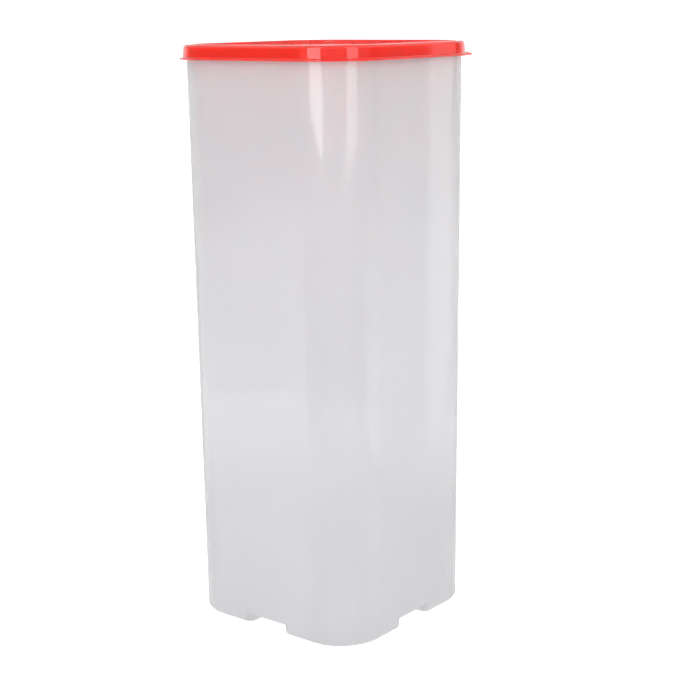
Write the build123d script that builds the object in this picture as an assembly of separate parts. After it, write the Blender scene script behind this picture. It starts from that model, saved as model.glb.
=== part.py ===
from build123d import *
from math import cos, hypot, radians, tan
import os

# A tall square bread keeper: a thin-walled tower of milky plastic on four moulded feet,
# and a press-on lid with a shallow panel, a drafted skirt, a thin lip and a pull tab.
# Millimetres, +Z up, origin at the centre of the base on the surface it stands on.
# The pull tab is at the +X +Y corner.

# Container
base_side = 120.8  # across the flats at the feet
base_corner = 26.4  # radius of the upright corners at the feet
container_height = 326.3  # from the surface to the top of the rim
wall_draft = 0.4  # degrees that the walls lean out, so that the moulding releases
wall = 1.8  # side walls
floor = 2.0  # feet and floor
floor_fillet = 2.5  # inside, where the walls meet the floor

# Feet
foot_height = 5.5  # clear height of the channels between the feet
foot_gap = 24.0  # width of the channels
pocket_corner = 2.7  # inside radius of each foot's upright edges beside the channels
foot_edge = 1.6  # rounding along the bottom of the feet
channel_edge = 0.8  # rounding where the channels run out of the walls
ridge_fillet = 2.0  # rounding of the raised cross that the channels make inside

# Gate mark that the moulding leaves under the base
gate_dimple_radius = 4.0
gate_dimple_depth = 0.5
gate_nub_radius = 1.2
gate_nub_height = 0.35

# Rim of the container
bead_reach = 0.4  # how far the bead stands out of the wall
bead_height = 3.0
bead_round = 0.35  # top edge of the bead
mouth_round = 0.5  # inner edge of the rim

# Lid
fit_gap = 0.25  # between the lid and the rim, all round, inside and out
lid_wall = 1.0  # skirt
skirt_draft = 5.0  # degrees
skirt_height = 6.4  # from the seat on the rim down to the underside of the lip
crest = 1.7  # thickness over the rim
crest_round = 1.8  # outer edge of the top
panel_recess = 1.6  # depth of the middle panel below the crest
panel = 1.2  # thickness of the middle panel
panel_round = 0.5  # where the recess meets the panel
brow_round = 1.0  # where the recess meets the crest
plug_wall = 1.2  # wall that reaches into the mouth
plug_depth = 8.0
plug_draft = 2.0  # degrees
plug_lead = 0.5  # rounding at the bottom of the plug
lip_reach = 1.75  # how far the lip stands out of the skirt
lip = 1.0  # thickness
lip_round = 0.4
lip_fillet = 0.5  # between the skirt and the lip

# Pull tab
tab_reach = 2.3  # how far it stands out of the lip, along the diagonal
tab_radius = 16.0
tab_blend = 8.0  # hollow curve from the tab into the lip
tab_bearing = 45.0  # degrees from +X towards +Y, the way the corner points
tab_ridge = 0.4  # height of the finger ridge
tab_ridge_width = 1.6
tab_ridge_inset = 0.6  # between the ridge and the edge of the tab
tab_ridge_angle = 72.0  # degrees of the tab's edge that the ridge follows
tab_ridge_round = 0.25

# Places worked out from the sizes above
lean = tan(radians(wall_draft))
skirt_lean = tan(radians(skirt_draft))
rim_side = base_side + 2 * lean * container_height
rim_corner = base_corner + lean * container_height
seat_z = container_height
lip_z = seat_z - skirt_height
crest_z = seat_z + crest
panel_z = crest_z - panel_recess
plug_face = -wall - fit_gap  # outer face of the plug, from the rim's outline
recess_face = plug_face - plug_wall
skirt_face = bead_reach + fit_gap + lid_wall  # outer face of the skirt at the seat
skirt_foot = skirt_face + skirt_lean * skirt_height  # the same at the lip
lip_face = skirt_foot + lip_reach
near = 0.01  # how close an edge lies to the height or outline it is picked by
level_to_upright = 0.1  # upright part of a direction that still counts as level
seated = (Align.CENTER, Align.CENTER, Align.MIN)  # standing on a height, centred above it


def tower_outline(z, inset=0.0):
    """The rounded square of the tower's wall at height z, moved in by inset."""
    side = base_side + 2 * lean * z - 2 * inset
    corner = base_corner + lean * z - inset
    return Plane.XY.offset(z) * RectangleRounded(side, side, corner)


def rim_outline(z, offset):
    """A rounded square at height z, moved out by offset from the outline of the rim."""
    side = rim_side + 2 * offset
    return Plane.XY.offset(z) * RectangleRounded(side, side, rim_corner + offset)


def drafted_block(outline, height, lean_out):
    """A block from an outline, up or down by height, with sides that lean out as they rise."""
    block = extrude(outline, amount=height)
    sides = block.faces().filter_by(lambda f: abs(f.normal_at().Z) < level_to_upright)
    outline_plane = Plane.XY.offset(outline.center().Z)
    return draft(sides, neutral_plane=outline_plane, angle=-lean_out)


def edges_at(shape, z):
    """The edges that lie flat at height z."""
    return shape.edges().filter_by_position(Axis.Z, z - near, z + near)


def upright_edges(shape, top):
    """The upright edges that end at height top."""
    upright = shape.edges().filter_by(lambda e: abs(e.tangent_at(0.5).Z) > 1 - level_to_upright)
    return upright.filter_by(lambda e: abs(e.bounding_box().max.Z - top) < near)


def offset_of(edge):
    """How far the middle of an edge lies outside the rim's outline, seen from above."""
    middle = edge.position_at(0.5)
    straight = rim_side / 2 - rim_corner
    past_x = max(abs(middle.X) - straight, 0)
    past_y = max(abs(middle.Y) - straight, 0)
    return hypot(past_x, past_y) - rim_corner


def edges_within(edges, offset):
    """The edges that lie within the rim's outline moved out by offset."""
    return edges.filter_by(lambda e: offset_of(e) < offset + near)


def channel_cross(width, height, bottom):
    """Two crossing bars, longer than the base is wide."""
    length = 2 * base_side
    along_x = Box(length, width, height, align=seated)
    along_y = Box(width, length, height, align=seated)
    return Pos(0, 0, bottom) * (along_x + along_y)


def tower_outside():
    """The solid outer form: a drafted rounded square, cut into four feet below."""
    tower = drafted_block(tower_outline(0), container_height, wall_draft)
    tower -= channel_cross(foot_gap, foot_height, 0)
    tower = fillet(upright_edges(tower, foot_height), pocket_corner + wall)
    tower = fillet(edges_at(tower, foot_height), channel_edge)
    return fillet(edges_at(tower, 0), foot_edge)


def tower_inside():
    """The space inside, which dips into each foot."""
    space = drafted_block(tower_outline(floor, wall), container_height, wall_draft)
    ridge_top = foot_height + floor
    space -= channel_cross(foot_gap + 2 * wall, foot_height, floor)
    space = fillet(upright_edges(space, ridge_top), pocket_corner)
    space = fillet(edges_at(space, ridge_top), ridge_fillet)
    return fillet(edges_at(space, floor), floor_fillet)


def rim_bead():
    """The bead round the outside of the rim, sloped below, that the lid snaps over."""
    bead_z = container_height - bead_height
    bead = extrude(rim_outline(bead_z, bead_reach), amount=bead_height)
    bead = fillet(edges_at(bead, container_height), bead_round)
    slope = bead_reach + lean * bead_height + near
    return chamfer(edges_at(bead, bead_z), slope)


def gate_mark():
    """The dimple under the base, and the nub in it, where the plastic was fed in."""
    dimple = Cylinder(gate_dimple_radius, gate_dimple_depth, align=seated)
    nub = Cylinder(gate_nub_radius, gate_nub_height, align=seated)
    nub_rise = gate_dimple_depth - gate_nub_height
    return Pos(0, 0, foot_height) * (dimple - Pos(0, 0, nub_rise) * nub)


def make_container():
    """The tower with its feet and rim, one moulding."""
    container = tower_outside() + rim_bead() - tower_inside() - gate_mark()
    mouth = edges_within(edges_at(container, container_height), -wall)
    return fillet(mouth, mouth_round)


def tab_middle():
    """The centre of the tab's round end, the same along X and Y."""
    corner_centre = rim_side / 2 - rim_corner
    lip_corner = rim_corner + lip_face
    return corner_centre + (lip_corner + tab_reach - tab_radius) * cos(radians(tab_bearing))


def make_lip():
    """The thin lip round the foot of the skirt, with the pull tab on one corner."""
    middle = tab_middle()
    tab = Plane.XY.offset(lip_z) * Pos(middle, middle) * Circle(tab_radius)
    outline = rim_outline(lip_z, lip_face) + tab
    off_tab = lambda v: abs(hypot(v.X - middle, v.Y - middle) - tab_radius)
    tab_joins = outline.vertices().sort_by(off_tab)[:2]
    outline = fillet(tab_joins, tab_blend)
    plate = extrude(outline, amount=lip)
    return fillet(edges_at(plate, lip_z) + edges_at(plate, lip_z + lip), lip_round)


def make_tab_ridge():
    """The low curved ridge along the edge of the tab that a finger pulls on."""
    middle = tab_middle()
    radius = tab_radius - tab_ridge_inset - tab_ridge_width / 2
    start = tab_bearing - tab_ridge_angle / 2
    line = Plane.XY.offset(lip_z + lip) * CenterArc((middle, middle), radius, start, tab_ridge_angle)
    ridge = extrude(trace(line, tab_ridge_width), amount=tab_ridge)
    return fillet(edges_at(ridge, lip_z + lip + tab_ridge), tab_ridge_round)


def make_plug():
    """The plug that reaches into the mouth, open below and closed above by the panel."""
    plug = drafted_block(rim_outline(seat_z, plug_face), -plug_depth, plug_draft)
    plug = fillet(edges_at(plug, seat_z - plug_depth), plug_lead)
    ceiling = rim_outline(panel_z - panel, recess_face)
    return plug - drafted_block(ceiling, -plug_depth, plug_draft)


def make_lid():
    """The lid, one moulding: crest, skirt, lip and tab outside, panel and plug inside."""
    lid = drafted_block(rim_outline(lip_z, skirt_foot), skirt_height + crest, -skirt_draft)
    lid = fillet(edges_at(lid, crest_z), crest_round)
    lid += make_lip()
    lid = fillet(edges_within(edges_at(lid, lip_z + lip), skirt_foot), lip_fillet)
    lid += make_tab_ridge()
    lid -= drafted_block(rim_outline(lip_z, skirt_foot - lid_wall), skirt_height, -skirt_draft)
    lid += make_plug()
    lid -= drafted_block(rim_outline(panel_z, recess_face), panel_recess, skirt_draft)
    lid = fillet(edges_within(edges_at(lid, panel_z), recess_face), panel_round)
    recess_top = recess_face + skirt_lean * panel_recess
    return fillet(edges_within(edges_at(lid, crest_z), recess_top), brow_round)


parts = {
    "container": make_container(),
    "lid": make_lid(),
}

os.makedirs("parts", exist_ok=True)
for name, shape in parts.items():
    export_step(shape, f"parts/{name}.step")
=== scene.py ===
import bpy
from math import cos, pi, radians, sin
from mathutils import Matrix, Vector

# A tall bread keeper in milky plastic, with a red press-on lid, on a white studio table.
# Metres, +Z up. The camera looks at the upright corner between the -Y and +X sides.

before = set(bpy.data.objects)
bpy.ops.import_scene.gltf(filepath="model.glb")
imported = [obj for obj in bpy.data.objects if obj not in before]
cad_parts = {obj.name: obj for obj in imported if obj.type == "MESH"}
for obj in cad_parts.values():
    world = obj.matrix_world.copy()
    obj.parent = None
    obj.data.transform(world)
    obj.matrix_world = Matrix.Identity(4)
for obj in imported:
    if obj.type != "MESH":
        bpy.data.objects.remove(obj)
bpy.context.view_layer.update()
scene = bpy.context.scene

# Camera, fitted to the photograph
CAMERA_BEARING = 39.139  # degrees round from the -Y side towards +X
CAMERA_DISTANCE = 0.8425  # level distance to the keeper's axis
CAMERA_HEIGHT = 0.3450
CAMERA_PAN = 0.428  # degrees right of the axis
CAMERA_DIP = 12.501  # degrees below level
CAMERA_ROLL = -0.763  # degrees
LENS_MM = 78.655
SENSOR_MM = 36.0

# Plastic
PLASTIC_IOR = 1.5
INNER_GLOSS = 0.1  # of the plastic itself, under its clear skin
INNER_ROUGHNESS = (0.74, 0.86)  # lowest and highest
RIPPLE_DEPTH = 0.0003  # of the waves in the skin
NOISE_START = 0.3  # most of what a noise gives lies between these two
NOISE_END = 0.7

# Floor
FLOOR_RADIUS = 30.0
FLOOR_SIDES = 128
FLOOR_DROP = 0.0002  # below the feet, so that no two faces lie in one place
FLOOR_GREY = 0.3
FLOOR_ROUGHNESS = 0.9

# Light, as radiance where white paper in the picture is 1
ROOM_LIGHT = 1.18
CEILING_LIGHT = 8.0  # for light that comes through the plastic
FLOOR_GLOW = 0.98
SEEN_LIGHT = 1.1  # of the room, where the camera sees past the floor
WALL_LIGHT = 3.2  # what a grey of 1.00 stands for in the levels of the walls
WINDOW_LIGHT = 4.8  # the same in the window of the front wall

# Softboxes
SOFTBOX_BOTTOM = 0.18
SOFTBOX_TOP = 1.10
STRIP_EDGE = (0.637, 0.830)  # floor point on the edge that the strip light and its foot share
STRIP_TOP = 1.20
STRIP_BOTTOM = -0.095  # this and the next lie below the floor, which shows in no reflection
STRIP_FOOT_BOTTOM = -0.205

# Levels pair the upward part of a ray with the grey that the ray finds there
SOFT_LEVELS = ((0.300, 1.00), (0.800, 0.65))
THROUGH_LEVELS = ((0.300, ROOM_LIGHT / CEILING_LIGHT), (0.700, 1.00))

# Levels of the walls that mirrored rays find, set so that the reflections match the
# photograph. The walls go on below the horizon, at 0, and share their foot
WALL_FOOT = ((-0.850, 0.32), (-0.780, 0.44), (-0.520, 0.44), (-0.480, 0.20))
CAMERA_WALL = (
    *WALL_FOOT,
    (-0.430, 0.03), (-0.360, 0.04), (-0.342, 0.08), (-0.318, 0.24), (-0.310, 0.38), (-0.272, 0.38),
    (-0.262, 0.06), (0.000, 0.03), (0.040, 0.09), (0.090, 0.15), (0.260, 0.25), (0.400, 0.40),
    (0.600, 0.40), (0.750, 0.30),
)
FRONT_WALL = (
    *WALL_FOOT,
    (-0.430, 0.25), (-0.390, 0.29), (-0.342, 0.40), (-0.320, 0.47), (-0.210, 0.44), (-0.160, 0.37),
    (-0.130, 0.03), (0.180, 0.03), (0.260, 0.22), (0.400, 0.45), (0.600, 0.45), (0.750, 0.30),
)
SIDE_WALL = (
    *WALL_FOOT,
    (-0.430, 0.25), (-0.360, 0.27), (-0.320, 0.31), (-0.310, 0.44), (-0.290, 0.50), (-0.246, 0.50),
    (-0.235, 0.41), (-0.160, 0.40), (-0.130, 0.30), (-0.050, 0.15), (0.020, 0.06), (0.180, 0.05),
    (0.260, 0.15), (0.400, 0.25), (0.600, 0.25), (0.750, 0.25),
)
BACK_WALL = (
    *WALL_FOOT,
    (-0.400, 0.26), (-0.020, 0.24), (0.010, 0.36), (0.120, 0.36), (0.300, 0.30), (0.400, 0.40),
    (0.600, 0.40), (0.750, 0.30),
)

# The walls after the camera's own. Each takes over from the one before it while the part of a ray
# that points away from the camera runs from the first number to the second, and the last number
# is its light in the band of the window
FURTHER_WALLS = (
    (FRONT_WALL, -0.34, -0.28, WINDOW_LIGHT),
    (SIDE_WALL, 0.12, 0.22, WALL_LIGHT),
    (BACK_WALL, 0.50, 0.75, WALL_LIGHT),
)
WINDOW_MIDDLE = -0.2818  # upward part of a ray to the middle of the window
WINDOW_REACH = 0.0218  # from there to its edges


def new_material(name):
    """An empty node material, with its nodes, its links and its output."""
    material = bpy.data.materials.new(name)
    material.use_nodes = True
    nodes = material.node_tree.nodes
    nodes.clear()
    return material, nodes, material.node_tree.links, nodes.new("ShaderNodeOutputMaterial")


def noise(nodes, links, scale, detail, stretch=(1.0, 1.0, 1.0)):
    """Noise in the object's own metres. scale is in waves per metre."""
    place = nodes.new("ShaderNodeTexCoord")
    mapping = nodes.new("ShaderNodeMapping")
    mapping.inputs["Scale"].default_value = stretch
    texture = nodes.new("ShaderNodeTexNoise")
    texture.inputs["Scale"].default_value = scale
    texture.inputs["Detail"].default_value = detail
    links.new(place.outputs["Object"], mapping.inputs["Vector"])
    links.new(mapping.outputs["Vector"], texture.inputs["Vector"])
    return texture.outputs["Fac"]


def tint(nodes, links, clouds, low, high):
    """A colour that runs from low to high over the span of a noise."""
    band = nodes.new("ShaderNodeValToRGB")
    band.color_ramp.elements[0].position = NOISE_START
    band.color_ramp.elements[0].color = (*low, 1.0)
    band.color_ramp.elements[1].position = NOISE_END
    band.color_ramp.elements[1].color = (*high, 1.0)
    links.new(clouds, band.inputs["Fac"])
    return band.outputs["Color"]


def spread(nodes, links, value, start, end, low=0.0, high=1.0):
    """A number that runs from low to high as value runs from start to end."""
    span = nodes.new("ShaderNodeMapRange")
    span.inputs["From Min"].default_value = start
    span.inputs["From Max"].default_value = end
    span.inputs["To Min"].default_value = low
    span.inputs["To Max"].default_value = high
    links.new(value, span.inputs["Value"])
    return span.outputs["Result"]


def ripples(nodes, links, height, strength):
    """Shallow waves in a glossy skin."""
    node = nodes.new("ShaderNodeBump")
    node.inputs["Distance"].default_value = RIPPLE_DEPTH
    node.inputs["Strength"].default_value = strength
    links.new(height, node.inputs["Height"])
    return node.outputs["Normal"]


def plastic(nodes, links, colour, flow, waves):
    """What both plastics share: a soft inside that light enters, under a clear glossy skin."""
    surface = nodes.new("ShaderNodeBsdfPrincipled")
    links.new(colour, surface.inputs["Base Color"])
    links.new(spread(nodes, links, flow, 0.0, 1.0, *INNER_ROUGHNESS), surface.inputs["Roughness"])
    links.new(waves, surface.inputs["Coat Normal"])
    surface.inputs["IOR"].default_value = PLASTIC_IOR
    surface.inputs["Specular IOR Level"].default_value = INNER_GLOSS
    surface.inputs["Subsurface Weight"].default_value = 1.0
    surface.inputs["Coat Weight"].default_value = 1.0
    return surface


def milky_plastic():
    """Glossy polypropylene that lets soft light through: cloudy, with faint flow lines."""
    material, nodes, links, output = new_material("milky_plastic")
    clouds = noise(nodes, links, scale=14.0, detail=4.0)
    flow = noise(nodes, links, scale=30.0, detail=2.0, stretch=(1.0, 1.0, 0.12))
    ripple = noise(nodes, links, scale=22.0, detail=1.0, stretch=(1.0, 1.0, 0.35))
    milk = tint(nodes, links, clouds, low=(0.806, 0.810, 0.826), high=(0.831, 0.835, 0.851))
    waves = ripples(nodes, links, ripple, strength=0.08)
    surface = plastic(nodes, links, milk, flow, waves)
    surface.inputs["Subsurface Radius"].default_value = (1.0, 1.0, 1.0)
    surface.inputs["Subsurface Scale"].default_value = 0.002
    surface.inputs["Transmission Weight"].default_value = 0.6
    surface.inputs["Coat Roughness"].default_value = 0.015
    links.new(surface.outputs["BSDF"], output.inputs["Surface"])
    return material


def red_plastic():
    """Glossy red polyethylene, with a faintly uneven sheen."""
    material, nodes, links, output = new_material("red_plastic")
    clouds = noise(nodes, links, scale=24.0, detail=3.0)
    flow = noise(nodes, links, scale=60.0, detail=2.0)
    ripple = noise(nodes, links, scale=35.0, detail=1.0)
    red = tint(nodes, links, clouds, low=(0.96, 0.022, 0.004), high=(0.99, 0.030, 0.006))
    waves = ripples(nodes, links, ripple, strength=0.1)
    surface = plastic(nodes, links, red, flow, waves)
    surface.inputs["Subsurface Radius"].default_value = (1.0, 0.03, 0.02)
    surface.inputs["Subsurface Scale"].default_value = 0.0015
    surface.inputs["Transmission Weight"].default_value = 0.5
    surface.inputs["Coat Roughness"].default_value = 0.04
    links.new(surface.outputs["BSDF"], output.inputs["Surface"])
    return material


def dress(node, material):
    """Gives a CAD node its finish."""
    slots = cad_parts[node].data.materials
    if not slots:
        slots.append(material)
    for place in range(len(slots)):
        slots[place] = material


def floor_white():
    """A matt grey that glows, and so looks white."""
    material, nodes, links, output = new_material("floor_white")
    surface = nodes.new("ShaderNodeBsdfPrincipled")
    surface.inputs["Base Color"].default_value = (FLOOR_GREY, FLOOR_GREY, FLOOR_GREY, 1.0)
    surface.inputs["Roughness"].default_value = FLOOR_ROUGHNESS
    surface.inputs["Specular IOR Level"].default_value = 0.0
    surface.inputs["Emission Color"].default_value = (1.0, 1.0, 1.0, 1.0)
    surface.inputs["Emission Strength"].default_value = FLOOR_GLOW
    links.new(surface.outputs["BSDF"], output.inputs["Surface"])
    return material


def set_stage():
    """A glowing white floor that runs out to the horizon and shows in no reflection."""
    place = (0, 0, -FLOOR_DROP)
    bpy.ops.mesh.primitive_circle_add(
        vertices=FLOOR_SIDES, radius=FLOOR_RADIUS, fill_type="NGON", location=place
    )
    floor = bpy.context.object
    floor.name = "floor"
    floor.data.materials.append(floor_white())
    floor.visible_glossy = False


def softbox(name, left_foot, right_foot, bottom, top, radiance):
    """An upright softbox over the line between two floor points. It shows only in reflections."""
    left = Vector((*left_foot, 0.0))
    right = Vector((*right_foot, 0.0))
    middle = (left + right) / 2
    back = (right - left).cross(Vector((0, 0, 1)))
    if back.dot(middle) < 0:
        back = -back
    light = bpy.data.lights.new(name, "AREA")
    light.shape = "RECTANGLE"
    light.size = (right - left).length
    light.size_y = top - bottom
    light.energy = radiance * pi * light.size * light.size_y
    lamp = bpy.data.objects.new(name, light)
    lamp.location = middle + Vector((0, 0, (bottom + top) / 2))
    lamp.rotation_euler = back.to_track_quat("Z", "Y").to_euler()
    lamp.visible_camera = False
    lamp.visible_diffuse = False
    lamp.visible_transmission = False
    scene.collection.objects.link(lamp)


def set_lights():
    """Two softboxes beside the camera and a narrow one behind on the right, with a narrower foot."""
    softbox("left_softbox", (-0.360, -1.465), (0.213, -0.861), SOFTBOX_BOTTOM, SOFTBOX_TOP, radiance=3.8)
    softbox("right_softbox", (0.657, -0.345), (1.076, -0.105), SOFTBOX_BOTTOM, SOFTBOX_TOP, radiance=2.5)
    softbox("strip_light", STRIP_EDGE, (0.562, 0.902), STRIP_BOTTOM, STRIP_TOP, radiance=0.9)
    softbox("strip_light_foot", STRIP_EDGE, (0.621, 0.845), STRIP_FOOT_BOTTOM, STRIP_BOTTOM, radiance=0.65)


def levelled(nodes, links, upward, levels):
    """A light of the room whose grey changes with the upward part of a ray."""
    band = nodes.new("ShaderNodeValToRGB")
    while len(band.color_ramp.elements) < len(levels):
        band.color_ramp.elements.new(1.0)
    for element, (level, grey) in zip(band.color_ramp.elements, levels):
        element.position = (level + 1) / 2
        element.color = (grey, grey, grey, 1.0)
    links.new(spread(nodes, links, upward, -1.0, 1.0), band.inputs["Fac"])
    light = nodes.new("ShaderNodeBackground")
    links.new(band.outputs["Color"], light.inputs["Color"])
    return light


def mixed(nodes, links, share, first, second):
    """One light that gives way to another as share runs from 0 to 1."""
    node = nodes.new("ShaderNodeMixShader")
    links.new(share, node.inputs["Fac"])
    links.new(first, node.inputs[1])
    links.new(second, node.inputs[2])
    return node.outputs["Shader"]


def ray_parts(nodes, links):
    """The part of a ray that points upward, and the part that points away from the camera."""
    place = nodes.new("ShaderNodeTexCoord")
    parts = nodes.new("ShaderNodeSeparateXYZ")
    links.new(place.outputs["Generated"], parts.inputs["Vector"])
    bearing = radians(CAMERA_BEARING)
    away = nodes.new("ShaderNodeVectorMath")
    away.operation = "DOT_PRODUCT"
    away.inputs[1].default_value = (-sin(bearing), cos(bearing), 0.0)
    links.new(place.outputs["Generated"], away.inputs[0])
    return parts.outputs["Z"], away.outputs["Value"]


def is_mirrored(nodes, links, path):
    """1 for a ray that a surface mirrored, and 0 for any other."""
    both = nodes.new("ShaderNodeMath")
    both.operation = "MULTIPLY"
    links.new(path.outputs["Is Glossy Ray"], both.inputs[0])
    links.new(path.outputs["Is Reflection Ray"], both.inputs[1])
    return both.outputs["Value"]


def in_window(nodes, links, upward):
    """1 for a ray to the sharply cut band of the window, and 0 for any other."""
    window = nodes.new("ShaderNodeMath")
    window.operation = "COMPARE"
    window.inputs[1].default_value = WINDOW_MIDDLE
    window.inputs[2].default_value = WINDOW_REACH
    links.new(upward, window.inputs[0])
    return window.outputs["Value"]


def wall(nodes, links, upward, window, levels, window_light):
    """The light of one wall, with its own light in the band of the window."""
    light = levelled(nodes, links, upward, levels)
    strength = spread(nodes, links, window, 0.0, 1.0, WALL_LIGHT, window_light)
    links.new(strength, light.inputs["Strength"])
    return light.outputs["Background"]


def mirrored_walls(nodes, links, upward, away):
    """The walls that mirrored rays find, from the camera's side to the far side."""
    window = in_window(nodes, links, upward)
    walls = wall(nodes, links, upward, window, CAMERA_WALL, WALL_LIGHT)
    for levels, start, end, window_light in FURTHER_WALLS:
        further = wall(nodes, links, upward, window, levels, window_light)
        share = spread(nodes, links, away, start, end)
        walls = mixed(nodes, links, share, walls, further)
    return walls


def set_room():
    """A white room, brighter above for light through the plastic, and grey in reflections."""
    world = bpy.data.worlds.new("room")
    world.use_nodes = True
    nodes = world.node_tree.nodes
    links = world.node_tree.links
    nodes.clear()
    output = nodes.new("ShaderNodeOutputWorld")
    path = nodes.new("ShaderNodeLightPath")
    upward, away = ray_parts(nodes, links)
    soft = levelled(nodes, links, upward, SOFT_LEVELS)
    soft.inputs["Strength"].default_value = ROOM_LIGHT
    through = levelled(nodes, links, upward, THROUGH_LEVELS)
    through.inputs["Strength"].default_value = CEILING_LIGHT
    walls = mirrored_walls(nodes, links, upward, away)
    seen = nodes.new("ShaderNodeBackground")
    seen.inputs["Color"].default_value = (1.0, 1.0, 1.0, 1.0)
    seen.inputs["Strength"].default_value = SEEN_LIGHT
    is_through = path.outputs["Is Transmission Ray"]
    light = mixed(nodes, links, is_through, soft.outputs["Background"], through.outputs["Background"])
    light = mixed(nodes, links, is_mirrored(nodes, links, path), light, walls)
    light = mixed(nodes, links, path.outputs["Is Camera Ray"], light, seen.outputs["Background"])
    links.new(light, output.inputs["Surface"])
    scene.world = world


def set_camera():
    """The photograph's camera, with colours shown as they are lit."""
    bearing = radians(CAMERA_BEARING)
    data = bpy.data.cameras.new("camera")
    data.lens = LENS_MM
    data.sensor_width = SENSOR_MM
    camera = bpy.data.objects.new("camera", data)
    place = (CAMERA_DISTANCE * sin(bearing), -CAMERA_DISTANCE * cos(bearing), CAMERA_HEIGHT)
    camera.matrix_world = (
        Matrix.Translation(place)
        @ Matrix.Rotation(bearing - radians(CAMERA_PAN), 4, "Z")
        @ Matrix.Rotation(pi / 2 - radians(CAMERA_DIP), 4, "X")
        @ Matrix.Rotation(radians(CAMERA_ROLL), 4, "Z")
    )
    scene.collection.objects.link(camera)
    scene.camera = camera
    scene.view_settings.view_transform = "Standard"


dress("container", milky_plastic())
dress("lid", red_plastic())
set_stage()
set_lights()
set_room()
set_camera()
